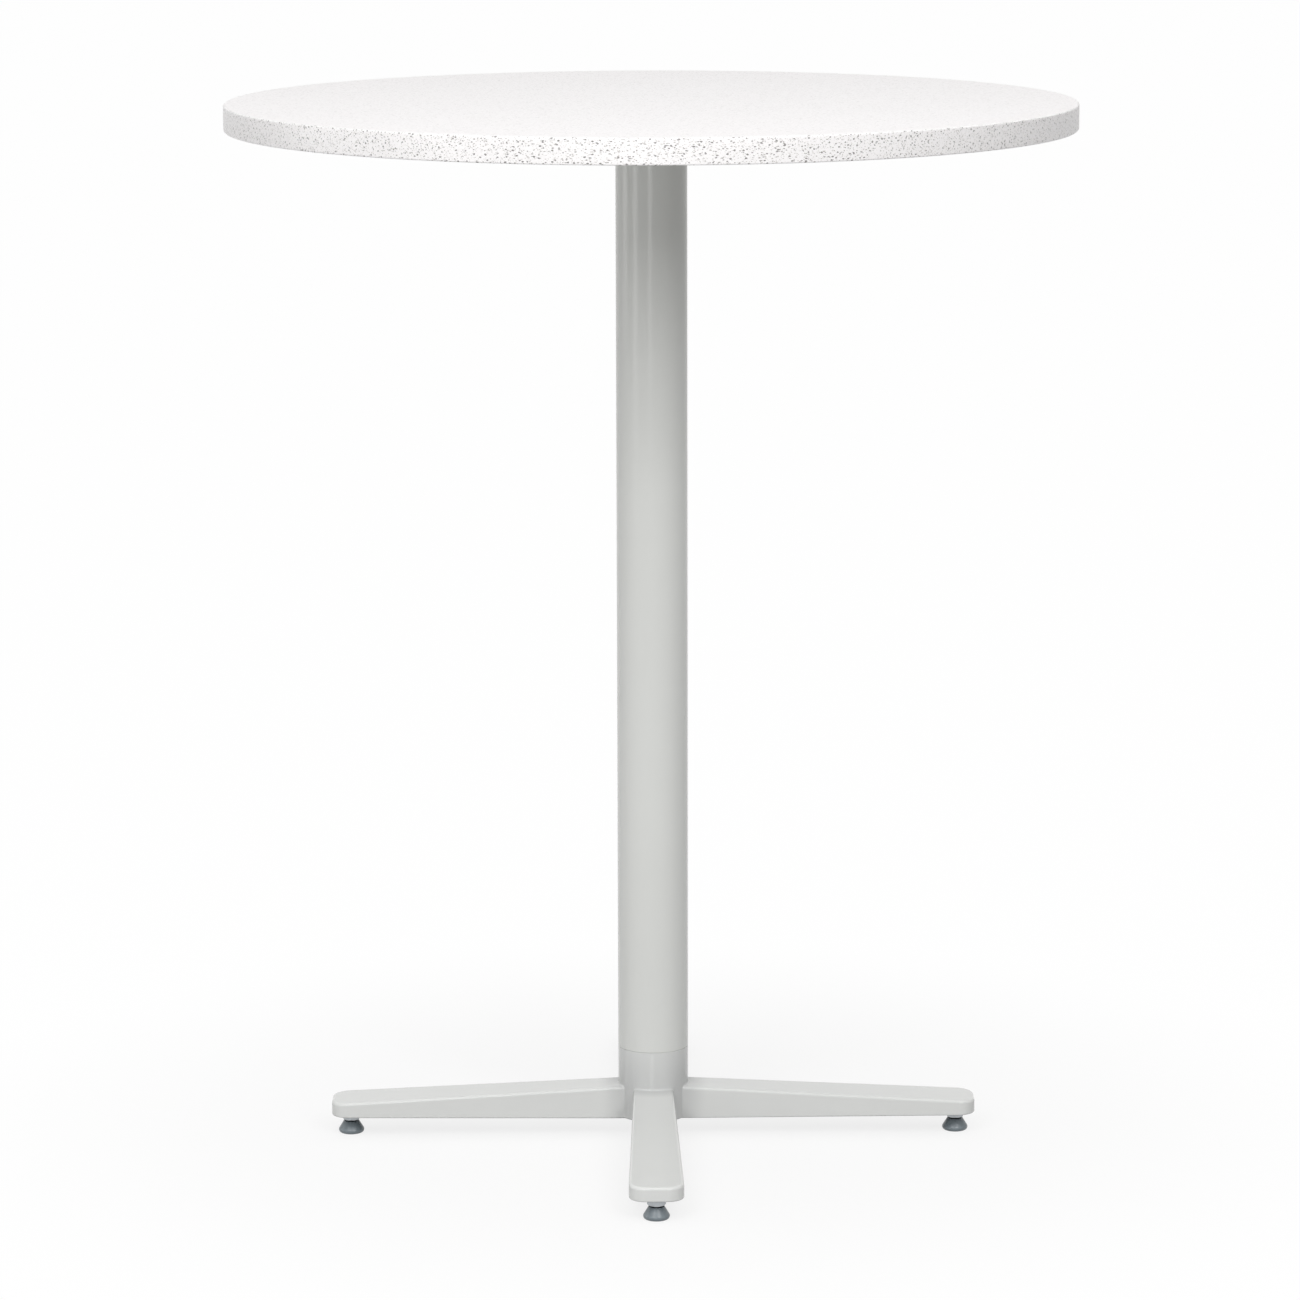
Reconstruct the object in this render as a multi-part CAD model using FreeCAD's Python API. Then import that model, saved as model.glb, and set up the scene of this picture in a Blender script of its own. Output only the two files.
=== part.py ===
import FreeCAD
import Part
import math
import os

# Standing-height round table: a laminated top on a steel column, on a one-piece cast base with four legs.
# Millimetres. +Z is up, the origin is on the floor under the column, and the front leg points along -Y.

# Tabletop
overall_height = 1123.0
top_diameter = 900.0
core_thickness = 25.0
laminate_thickness = 0.9
backing_thickness = 0.9
band_thickness = 2.0
band_edge_radius = 1.5
band_edge_limit = 0.8

# Threaded inserts, screws and washers that hold the spider to the top
insert_diameter = 10.0
insert_length = 13.0
insert_clearance = 0.05
screw_diameter = 6.0
screw_engagement = 11.0
screw_head_diameter = 11.0
screw_head_height = 3.6
screw_head_rim = 0.9
screw_socket_width = 4.0
screw_socket_depth = 2.0
screw_hole_clearance = 0.3
washer_diameter = 14.0
washer_thickness = 1.6

# Top spider
spider_arm_radius = 235.0
spider_arm_root_width = 46.0
spider_arm_tip_width = 34.0
spider_arm_thickness = 7.0
spider_arm_corner_radius = 12.0
spider_arm_edge_radius = 1.5
spider_hub_height = 20.0
spider_flange = 6.0
spider_rib_thickness = 8.0
spider_rib_setback = 20.0
spider_tip_margin = 17.0
spider_hole_pitch = 65.0
spider_spigot_length = 30.0
spider_web_thickness = 8.0
nut_recess_clearance = 4.5

# Column
tube_diameter = 76.1
tube_wall = 2.0
spigot_clearance = 0.2
spigot_wall = 4.0
spigot_lead_in = 1.5
seam_chamfer = 0.6

# Tie rod that clamps the column between the base and the spider
rod_diameter = 12.0
rod_hole_clearance = 0.5
rod_projection = 3.0
rod_end_room = 3.0
rod_end_chamfer = 1.2
nut_width = 18.0
nut_height = 10.8
rod_washer_diameter = 24.0
rod_washer_thickness = 2.5
thread_clearance = 0.05

# Cast base
hub_drop = 3.7
hub_wall = 6.0
collar_height = 73.9
base_spigot_length = 30.0
hub_web_height = 41.7
hub_web_thickness = 10.0
leg_tip_radius = 350.5
leg_root_width = 43.5
leg_tip_width = 58.3
leg_root_height = 31.7
leg_tip_height = 15.4
leg_corner_radius = 18.0
leg_edge_radius = 3.0
leg_lower_edge_radius = 1.5
leg_root_fillet = 2.0
leg_wall = 4.5
leg_roof = 4.0
leg_rib_thickness = 3.5
leg_rib_recess = 3.0
leg_cross_ribs = 4
boss_diameter = 20.0
boss_drop = 2.3

# Levelling feet
foot_setback = 20.5
pad_diameter = 27.7
pad_top_diameter = 17.0
pad_height = 13.3
pad_edge_radius = 3.4
pad_recess_depth = 3.2
pad_recess_rim = 1.3
pad_floor = 4.2
socket_clearance = 0.3
stem_diameter = 10.0
stem_hole_clearance = 0.1
stem_end_room = 1.2
stem_neck_diameter = 7.0
stem_neck_gap = 1.4
stem_disc_diameter = 11.0
stem_disc_thickness = 3.0
stem_tip_chamfer = 0.8
hex_width = 16.0
hex_height = 6.0
seat_gap = 0.3

foot_angles = {"front": -90.0, "right": 0.0, "back": 90.0, "left": 180.0}

# Heights and radii that follow from the sizes above
top_radius = top_diameter / 2
core_radius = top_radius - band_thickness
underside_z = overall_height - backing_thickness - core_thickness - laminate_thickness
core_bottom_z = underside_z + backing_thickness
core_top_z = core_bottom_z + core_thickness

hex_bottom_z = pad_height + stem_neck_gap
hex_top_z = hex_bottom_z + hex_height
boss_face_z = hex_top_z + seat_gap
leg_tip_bottom_z = boss_face_z + boss_drop
leg_tip_top_z = leg_tip_bottom_z + leg_tip_height
leg_root_top_z = leg_tip_bottom_z + leg_root_height
hub_bottom_z = leg_tip_bottom_z - hub_drop
hub_web_bottom_z = leg_tip_bottom_z + hub_web_height
hub_web_top_z = hub_web_bottom_z + hub_web_thickness
collar_top_z = leg_tip_bottom_z + collar_height
foot_circle_radius = leg_tip_radius - foot_setback

hub_radius = tube_diameter / 2
spigot_radius = hub_radius - tube_wall - spigot_clearance
spigot_bore_radius = spigot_radius - spigot_wall
tube_top_z = underside_z - spider_hub_height
rod_end_length = rod_washer_thickness + nut_height + rod_projection
spider_web_top_z = underside_z - rod_end_length - rod_end_room
spider_web_bottom_z = spider_web_top_z - spider_web_thickness
arm_bottom_z = underside_z - spider_arm_thickness
outer_hole_radius = spider_arm_radius - spider_tip_margin
inner_hole_radius = outer_hole_radius - spider_hole_pitch
rod_hole_radius = rod_diameter / 2 + rod_hole_clearance
screw_hole_radius = screw_diameter / 2 + screw_hole_clearance
insert_hole_radius = insert_diameter / 2 + insert_clearance

# The line where the hub's turned surface closes on itself lies between two legs
seam_angle = 45.0
# Overshoot of a cutting solid past the face that it opens
overshoot = 1.0
# How near a point has to lie to a face to count as on it
on_face = 0.001

Vector = FreeCAD.Vector
up = Vector(0, 0, 1)
centre = Vector(0, 0, 0)


def profile_face(points):
    """A flat face in the XZ plane through (radius, height) points."""
    corners = [Vector(radius, 0, height) for radius, height in points]
    return Part.Face(Part.makePolygon(corners + corners[:1]))


def turned(points):
    """A solid of revolution about the column axis."""
    return profile_face(points).revolve(centre, up, 360)


def cylinder(radius, bottom_z, top_z, x=0.0):
    return Part.makeCylinder(radius, top_z - bottom_z, Vector(x, 0, bottom_z))


def ring(outer_radius, inner_radius, bottom_z, top_z):
    outer = cylinder(outer_radius, bottom_z, top_z)
    return outer.cut(cylinder(inner_radius, bottom_z - overshoot, top_z + overshoot))


def hexagon(width, bottom_z, top_z):
    """A hexagonal prism of a given width across its flats."""
    corner_radius = width / 2 / math.cos(math.pi / 6)
    corners = []
    for step in range(6):
        angle = math.radians(60 * step)
        corners.append(Vector(corner_radius * math.cos(angle), corner_radius * math.sin(angle), bottom_z))
    face = Part.Face(Part.makePolygon(corners + corners[:1]))
    return face.extrude(Vector(0, 0, top_z - bottom_z))


def chamfered_hexagon(width, bottom_z, top_z):
    """A hexagonal prism with its corners turned off at 30 degrees at both ends."""
    corner_radius = width / 2 / math.cos(math.pi / 6)
    flat_radius = width / 2
    slope_height = (corner_radius - flat_radius) * math.tan(math.radians(30))
    turned_off = turned([
        (0, bottom_z),
        (flat_radius, bottom_z),
        (corner_radius, bottom_z + slope_height),
        (corner_radius, top_z - slope_height),
        (flat_radius, top_z),
        (0, top_z),
    ])
    return hexagon(width, bottom_z, top_z).common(turned_off)


def passes(edge, test):
    """Whether points all along an edge pass a test."""
    return all(test(point) for point in edge.discretize(7))


def edges_where(shape, test):
    return [edge for edge in shape.Edges if passes(edge, test)]


def moved(shape, x, y):
    copy = shape.copy()
    copy.translate(Vector(x, y, 0))
    return copy


def turned_to(shape, angle):
    copy = shape.copy()
    copy.rotate(centre, up, angle)
    return copy


def place_on_arms(shape):
    """One copy of a fastener at each hole of the spider."""
    copies = []
    for angle in foot_angles.values():
        for radius in (inner_hole_radius, outer_hole_radius):
            copies.append(turned_to(moved(shape, radius, 0), angle))
    return copies


def tapered_plate(start, end, start_width, end_width, bottom_z, height, corner_radius):
    """A flat bar along +X whose width changes evenly and whose outer corners are rounded."""
    face = Part.Face(Part.makePolygon([
        Vector(start, -start_width / 2, bottom_z),
        Vector(end, -end_width / 2, bottom_z),
        Vector(end, end_width / 2, bottom_z),
        Vector(start, start_width / 2, bottom_z),
        Vector(start, -start_width / 2, bottom_z),
    ]))
    plate = face.extrude(Vector(0, 0, height))
    corners = edges_where(plate, lambda point: abs(point.x - end) < on_face
                          and abs(abs(point.y) - end_width / 2) < on_face)
    return plate.makeFillet(corner_radius, corners)


# Tabletop


def tabletop_core():
    core = cylinder(core_radius, core_bottom_z, core_top_z)
    hole = cylinder(insert_hole_radius, core_bottom_z - overshoot, underside_z + insert_length)
    return core.cut(Part.makeCompound(place_on_arms(hole)))


def top_laminate():
    return cylinder(core_radius, core_top_z, overall_height)


def backing_laminate():
    sheet = cylinder(core_radius, underside_z, core_bottom_z)
    hole = cylinder(insert_hole_radius, underside_z - overshoot, core_bottom_z + overshoot)
    return sheet.cut(Part.makeCompound(place_on_arms(hole)))


def edge_band():
    band = ring(top_radius, core_radius, underside_z, overall_height)
    outer_edges = edges_where(band, lambda point: abs(math.hypot(point.x, point.y) - top_radius) < on_face
                              and min(point.z - underside_z, overall_height - point.z) < on_face)
    return band.makeFillet(min(band_edge_radius, band_edge_limit * band_thickness), outer_edges)


def threaded_inserts():
    bore_radius = screw_diameter / 2 + thread_clearance
    insert = ring(insert_diameter / 2, bore_radius, underside_z, underside_z + insert_length)
    return Part.makeCompound(place_on_arms(insert))


# Top spider and its fasteners


def top_spider():
    flange_radius = hub_radius + spider_flange
    spider = turned([
        (0, tube_top_z - spider_spigot_length),
        (spigot_radius - spigot_lead_in, tube_top_z - spider_spigot_length),
        (spigot_radius, tube_top_z - spider_spigot_length + spigot_lead_in),
        (spigot_radius, tube_top_z),
        (flange_radius, tube_top_z),
        (flange_radius, underside_z),
        (0, underside_z),
    ])
    arm = tapered_plate(0, spider_arm_radius, spider_arm_root_width, spider_arm_tip_width, arm_bottom_z,
                        spider_arm_thickness, spider_arm_corner_radius)
    lower_edges = edges_where(arm, lambda point: abs(point.z - arm_bottom_z) < on_face and point.x > on_face)
    arm = arm.makeFillet(spider_arm_edge_radius, lower_edges)
    rib_end = inner_hole_radius - spider_rib_setback
    rib_side = profile_face([(0, tube_top_z), (flange_radius, tube_top_z), (rib_end, arm_bottom_z),
                             (rib_end, arm_bottom_z + overshoot), (0, arm_bottom_z + overshoot)])
    rib = moved(rib_side.extrude(Vector(0, spider_rib_thickness, 0)), 0, -spider_rib_thickness / 2)
    arms = []
    for angle in foot_angles.values():
        arms.append(turned_to(arm, angle))
        arms.append(turned_to(rib, angle))
    spider = spider.multiFuse(arms).removeSplitter()
    recess_radius = rod_washer_diameter / 2 + nut_recess_clearance
    hole = cylinder(screw_hole_radius, arm_bottom_z - overshoot, underside_z + overshoot)
    cuts = [
        cylinder(recess_radius, spider_web_top_z, underside_z + overshoot),
        cylinder(spigot_bore_radius, tube_top_z - spider_spigot_length - overshoot, spider_web_bottom_z),
        cylinder(rod_hole_radius, spider_web_bottom_z - overshoot, spider_web_top_z + overshoot),
    ]
    return spider.cut(Part.makeCompound(cuts + place_on_arms(hole)))


def spider_screws():
    head_top = arm_bottom_z - washer_thickness
    head_bottom = head_top - screw_head_height
    head_radius = screw_head_diameter / 2
    rim_z = head_top - screw_head_rim
    face_radius = screw_socket_width / 2 / math.cos(math.pi / 6) + screw_head_rim
    # The dome runs from the rim to the flat round the socket, through a point at 45 degrees on its ellipse
    dome_radius = face_radius + (head_radius - face_radius) * math.cos(math.pi / 4)
    dome_z = rim_z - (rim_z - head_bottom) * math.sin(math.pi / 4)
    face_edge = Vector(face_radius, 0, head_bottom)
    rim_edge = Vector(head_radius, 0, rim_z)
    side = [
        Part.LineSegment(Vector(0, 0, head_bottom), face_edge),
        Part.Arc(face_edge, Vector(dome_radius, 0, dome_z), rim_edge),
        Part.LineSegment(rim_edge, Vector(head_radius, 0, head_top)),
        Part.LineSegment(Vector(head_radius, 0, head_top), Vector(0, 0, head_top)),
        Part.LineSegment(Vector(0, 0, head_top), Vector(0, 0, head_bottom)),
    ]
    head = Part.Face(Part.Wire([line.toShape() for line in side])).revolve(centre, up, 360)
    shank = cylinder(screw_diameter / 2, head_top, underside_z + screw_engagement)
    socket = hexagon(screw_socket_width, head_bottom - overshoot, head_bottom + screw_socket_depth)
    return Part.makeCompound(place_on_arms(head.fuse(shank).cut(socket)))


def spider_washers():
    washer = ring(washer_diameter / 2, screw_hole_radius, arm_bottom_z - washer_thickness, arm_bottom_z)
    return Part.makeCompound(place_on_arms(washer))


# Column and tie rod


def column_tube():
    inner_radius = hub_radius - tube_wall
    return turned([
        (inner_radius, collar_top_z),
        (hub_radius - seam_chamfer, collar_top_z),
        (hub_radius, collar_top_z + seam_chamfer),
        (hub_radius, tube_top_z),
        (inner_radius, tube_top_z),
    ])


def tie_rod():
    radius = rod_diameter / 2
    bottom_z = hub_web_bottom_z - rod_end_length
    top_z = spider_web_top_z + rod_end_length
    return turned([
        (0, bottom_z),
        (radius - rod_end_chamfer, bottom_z),
        (radius, bottom_z + rod_end_chamfer),
        (radius, top_z - rod_end_chamfer),
        (radius - rod_end_chamfer, top_z),
        (0, top_z),
    ])


def tie_rod_washer(bottom_z):
    return ring(rod_washer_diameter / 2, rod_hole_radius, bottom_z, bottom_z + rod_washer_thickness)


def tie_rod_nut(bottom_z):
    top_z = bottom_z + nut_height
    bore = cylinder(rod_diameter / 2 + thread_clearance, bottom_z - overshoot, top_z + overshoot)
    return chamfered_hexagon(nut_width, bottom_z, top_z).cut(bore)


# Cast base


def leg_half_width(radius):
    spread = (leg_tip_width - leg_root_width) / 2
    return leg_root_width / 2 + spread * (radius - hub_radius) / (leg_tip_radius - hub_radius)


def leg_top_z(radius):
    fall = leg_root_top_z - leg_tip_top_z
    return leg_root_top_z - fall * (radius - hub_radius) / (leg_tip_radius - hub_radius)


def leg_bottom_z(radius):
    rise = leg_tip_bottom_z - hub_bottom_z
    return hub_bottom_z + rise * max(radius - hub_radius, 0) / (leg_tip_radius - hub_radius)


foot_hole_top_z = leg_top_z(foot_circle_radius) - leg_roof


def leg_block(start, inset, roof, foot_room):
    """A leg along +X, drawn in by inset at its sides and end, and by roof under its top.

    Its underside goes down by foot_room, so the same block makes the leg and the hollow inside it.
    """
    end = leg_tip_radius - inset
    lowest_z = hub_bottom_z - foot_room
    plan = tapered_plate(start, end, 2 * (leg_half_width(start) - inset), 2 * (leg_half_width(end) - inset),
                         lowest_z, leg_top_z(start) - lowest_z, leg_corner_radius - inset)
    side = profile_face([
        (start, leg_bottom_z(start) - foot_room),
        (max(start, hub_radius), leg_bottom_z(max(start, hub_radius)) - foot_room),
        (end, leg_bottom_z(end) - foot_room),
        (end, leg_top_z(end) - roof),
        (start, leg_top_z(start) - roof),
    ])
    slab = moved(side.extrude(Vector(0, 2 * leg_tip_width, 0)), 0, -leg_tip_width)
    return plan.common(slab)


def cast_leg():
    """A leg with its upper edges rounded, from inside the hub to its tip."""
    start = hub_radius / 2
    leg = leg_block(start, 0, 0, 0)
    top_edges = edges_where(leg, lambda point: abs(point.z - leg_top_z(point.x)) < on_face)
    outer_edges = [edge for edge in top_edges if edge.BoundBox.XMax > start + on_face]
    return leg.makeFillet(leg_edge_radius, outer_edges)


def leg_hollow():
    """The space under a leg, with its ribs and foot boss left standing."""
    first = hub_radius + hub_wall
    half = leg_rib_thickness / 2
    height = leg_root_top_z - hub_bottom_z
    ribs = [Part.makeBox(leg_tip_radius - first, 2 * half, height, Vector(first, -half, hub_bottom_z))]
    for step in range(1, leg_cross_ribs + 1):
        radius = first + (foot_circle_radius - first) * step / leg_cross_ribs
        ribs.append(Part.makeBox(2 * half, leg_tip_width, height,
                                 Vector(radius - half, -leg_tip_width / 2, hub_bottom_z)))
    ribs = ribs[0].multiFuse(ribs[1:]).common(leg_block(first, 0, 0, -leg_rib_recess))
    return leg_block(first, leg_wall, leg_roof, overshoot).cut([ribs, foot_boss()])


def foot_boss():
    """The boss under a leg that holds the foot's thread."""
    return cylinder(boss_diameter / 2, boss_face_z, foot_hole_top_z + leg_roof / 2, foot_circle_radius)


def on_root(point):
    """Whether a point lies where a leg runs into the hub."""
    return abs(math.hypot(point.x, point.y) - hub_radius) < on_face and point.z < leg_top_z(0)


def across_leg(point):
    """Whether a point lies on the line across a leg where its underside starts to rise."""
    return abs(max(abs(point.x), abs(point.y)) - hub_radius) < on_face


def on_lower_edge(point):
    """Whether a point lies on the underside of the legs or of the hub."""
    radius = max(abs(point.x), abs(point.y))
    return abs(point.z - leg_bottom_z(radius)) < on_face


def base_casting():
    spigot_top_z = collar_top_z + base_spigot_length
    hub = turned([
        (0, hub_bottom_z),
        (hub_radius, hub_bottom_z),
        (hub_radius, collar_top_z),
        (spigot_radius, collar_top_z),
        (spigot_radius, spigot_top_z - spigot_lead_in),
        (spigot_radius - spigot_lead_in, spigot_top_z),
        (0, spigot_top_z),
    ])
    leg = cast_leg()
    legs = [turned_to(leg, angle) for angle in foot_angles.values()]
    body = turned_to(hub, seam_angle).multiFuse(legs).removeSplitter()
    roots = [edge for edge in edges_where(body, on_root) if edge.BoundBox.ZMax > hub_bottom_z + on_face]
    body = body.makeFillet(leg_root_fillet, roots)
    lower = [edge for edge in edges_where(body, on_lower_edge) if not passes(edge, across_leg)]
    body = body.makeFillet(leg_lower_edge_radius, lower)
    hollow = leg_hollow()
    body = body.cut([turned_to(hollow, angle) for angle in foot_angles.values()])
    body = body.multiFuse([turned_to(foot_boss(), angle) for angle in foot_angles.values()])
    foot_hole = cylinder(stem_diameter / 2 + stem_hole_clearance, boss_face_z - overshoot, foot_hole_top_z,
                         foot_circle_radius)
    cuts = [
        cylinder(hub_radius - hub_wall, hub_bottom_z - overshoot, hub_web_bottom_z),
        cylinder(spigot_bore_radius, hub_web_top_z, spigot_top_z + overshoot),
        cylinder(rod_hole_radius, hub_web_bottom_z - overshoot, hub_web_top_z + overshoot),
    ]
    cuts.extend(turned_to(foot_hole, angle) for angle in foot_angles.values())
    return body.cut(cuts).removeSplitter()


# Levelling feet


def foot_pad():
    """A flared pad with a round lower edge and a socket that holds the stem's disc."""
    edge_centre_radius = pad_diameter / 2 - pad_edge_radius
    rim_radius = pad_top_diameter / 2
    # The side is the line from the top rim that just touches the round lower edge
    across = rim_radius - edge_centre_radius
    rise = pad_height - pad_edge_radius
    touch = math.atan2(rise, across) - math.acos(pad_edge_radius / math.hypot(across, rise))

    def on_edge(angle):
        return Vector(edge_centre_radius + pad_edge_radius * math.cos(angle), 0,
                      pad_edge_radius * (1 + math.sin(angle)))

    socket_top_z = pad_floor + stem_disc_thickness + 2 * socket_clearance
    socket_radius = stem_disc_diameter / 2 + socket_clearance
    neck_radius = stem_neck_diameter / 2 + socket_clearance
    corners = [
        on_edge(touch),
        Vector(rim_radius, 0, pad_height),
        Vector(rim_radius - pad_recess_rim, 0, pad_height),
        Vector(neck_radius, 0, pad_height - pad_recess_depth),
        Vector(neck_radius, 0, socket_top_z),
        Vector(socket_radius, 0, socket_top_z),
        Vector(socket_radius, 0, pad_floor),
        Vector(0, 0, pad_floor),
        centre,
        on_edge(-math.pi / 2),
    ]
    halfway = (touch - math.pi / 2) / 2
    lower_edge = Part.Arc(on_edge(-math.pi / 2), on_edge(halfway), on_edge(touch)).toShape()
    outline = Part.Wire([lower_edge] + Part.makePolygon(corners).Edges)
    return Part.Face(outline).revolve(centre, up, 360)


def foot_stem():
    """A threaded stem with a hexagon to turn it by, and a disc that turns in the pad."""
    disc_bottom_z = pad_floor + socket_clearance
    disc_top_z = disc_bottom_z + stem_disc_thickness
    stem_top_z = foot_hole_top_z - stem_end_room
    radius = stem_diameter / 2
    shank = turned([
        (0, disc_bottom_z),
        (stem_disc_diameter / 2, disc_bottom_z),
        (stem_disc_diameter / 2, disc_top_z),
        (stem_neck_diameter / 2, disc_top_z),
        (stem_neck_diameter / 2, hex_bottom_z + overshoot),
        (radius, hex_bottom_z + overshoot),
        (radius, stem_top_z - stem_tip_chamfer),
        (radius - stem_tip_chamfer, stem_top_z),
        (0, stem_top_z),
    ])
    return shank.fuse(chamfered_hexagon(hex_width, hex_bottom_z, hex_top_z)).removeSplitter()


nodes = {
    "tabletop_core": tabletop_core(),
    "top_laminate": top_laminate(),
    "backing_laminate": backing_laminate(),
    "edge_band": edge_band(),
    "threaded_inserts": threaded_inserts(),
    "top_spider": top_spider(),
    "spider_screws": spider_screws(),
    "spider_washers": spider_washers(),
    "column_tube": column_tube(),
    "tie_rod": tie_rod(),
    "tie_rod_top_washer": tie_rod_washer(spider_web_top_z),
    "tie_rod_top_nut": tie_rod_nut(spider_web_top_z + rod_washer_thickness),
    "tie_rod_bottom_washer": tie_rod_washer(hub_web_bottom_z - rod_washer_thickness),
    "tie_rod_bottom_nut": tie_rod_nut(hub_web_bottom_z - rod_washer_thickness - nut_height),
    "base_casting": base_casting(),
}
for side, angle in foot_angles.items():
    nodes["foot_pad_" + side] = turned_to(moved(foot_pad(), foot_circle_radius, 0), angle)
    nodes["foot_stem_" + side] = turned_to(moved(foot_stem(), foot_circle_radius, 0), angle)

os.makedirs("parts", exist_ok=True)
for name, shape in nodes.items():
    shape.exportStep("parts/" + name + ".step")
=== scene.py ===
import math
import bmesh
import bpy
from mathutils import Matrix, Vector


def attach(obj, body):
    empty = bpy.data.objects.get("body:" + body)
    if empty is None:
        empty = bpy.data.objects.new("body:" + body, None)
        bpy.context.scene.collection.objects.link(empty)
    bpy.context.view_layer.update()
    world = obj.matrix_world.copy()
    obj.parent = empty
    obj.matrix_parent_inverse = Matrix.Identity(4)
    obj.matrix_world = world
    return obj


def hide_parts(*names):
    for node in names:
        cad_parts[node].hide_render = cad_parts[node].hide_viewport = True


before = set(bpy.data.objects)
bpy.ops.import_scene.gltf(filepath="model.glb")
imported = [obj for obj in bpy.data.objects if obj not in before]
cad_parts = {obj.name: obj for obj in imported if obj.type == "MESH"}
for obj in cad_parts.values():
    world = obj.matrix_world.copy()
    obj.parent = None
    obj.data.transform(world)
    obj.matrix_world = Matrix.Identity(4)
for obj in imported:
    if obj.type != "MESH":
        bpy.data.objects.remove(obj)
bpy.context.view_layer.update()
mm = 0.001  # pieces are drawn in millimetres, and Blender takes metres
print("frame loaded:", len(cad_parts), "nodes")


def linearColour(code):
    # sRGB hex to the linear colour that a socket takes
    parts = [int(code[k:k + 2], 16) / 255 for k in (0, 2, 4)]
    return [p / 12.92 if p <= 0.04045 else ((p + 0.055) / 1.055) ** 2.4 for p in parts] + [1.0]


def addNode(tree, kind, settings=None, links=None):
    node = tree.nodes.new(kind)
    for key, value in (settings or {}).items():
        if isinstance(key, str) and hasattr(node, key):
            setattr(node, key, value)
        else:
            node.inputs[key].default_value = value
    for key, source in (links or {}).items():
        tree.links.new(source, node.inputs[key])
    return node


def newFinish(name, settings):
    finish = bpy.data.materials.new(name)
    finish.use_nodes = True
    tree = finish.node_tree
    shader = tree.nodes["Principled BSDF"]
    for key, value in settings.items():
        shader.inputs[key].default_value = value
    place = addNode(tree, "ShaderNodeTexCoord").outputs["Object"]
    return finish, tree, shader, place


def perMetre(size):
    # texture scale that repeats about every size millimetres
    return 1 / (size * mm)


colourA, colourB, colourOut = 6, 7, 2  # sockets of a Mix node that mixes colours


# Camera, set by the photograph

cameraLook = {"place": (-0.0505, -5.4233, 1.5488),  # m
              "heading": -0.507, "down": 10.591, "roll": -0.127,  # degrees
              "lens": 142.10, "sensor": 36.0}  # mm

cameraData = bpy.data.cameras.new("photoCamera")
cameraData.lens = cameraLook["lens"]
cameraData.sensor_width = cameraLook["sensor"]
camera = bpy.data.objects.new("photoCamera", cameraData)
camera.matrix_world = (Matrix.Translation(cameraLook["place"])
                       @ Matrix.Rotation(math.radians(cameraLook["heading"]), 4, "Z")
                       @ Matrix.Rotation(math.radians(90 - cameraLook["down"]), 4, "X")
                       @ Matrix.Rotation(math.radians(cameraLook["roll"]), 4, "Z"))
bpy.context.collection.objects.link(camera)
bpy.context.scene.camera = camera
bpy.context.scene.view_settings.view_transform = "Standard"
print("camera placed")


# Finishes

# High-pressure laminate, pressed with a fine-texture plate: white, matt, with chips printed under the skin
speckle = {
    "ground": "faf8f8",
    "wobbleSize": 1.3, "wobbleReach": 1.0,  # mm: makes the chips ragged
    "rimOut": -0.01, "rimIn": 0.03,  # soft rim of a chip, in shares of its spacing
    # spacing and size in mm; a chip shows where the surface cuts it, and stretch draws it out along its turn
    "chips": [
        {"colour": "e3e1de", "spacing": 1.7, "size": (0.4, 1.2), "stretch": 1.4, "turn": (20, 35, 0)},
        {"colour": "c2bfbb", "spacing": 1.95, "size": (0.4, 1.3), "stretch": 2.0, "turn": (65, 10, 40)},
        {"colour": "a9a6a3", "spacing": 2.5, "size": (0.5, 1.6), "stretch": 2.0, "turn": (110, 50, 75)},
        {"colour": "807e7d", "spacing": 3.35, "size": (0.7, 2.1), "stretch": 1.5, "turn": (150, 25, 15)},
    ],
    "texture": 0.7, "textureDepth": 0.002,  # mm
    "glossWave": 0.05,
}
# the print lies under a milky skin, so its chips are faint
laminateLook = {"roughness": 0.75, "shine": 0.3, "strength": 0.3}
# ABS edge band, extruded with chips right through and scraped flush: they show at full strength
bandLook = {"roughness": 0.36, "shine": 0.5, "strength": 1.0}


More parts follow.
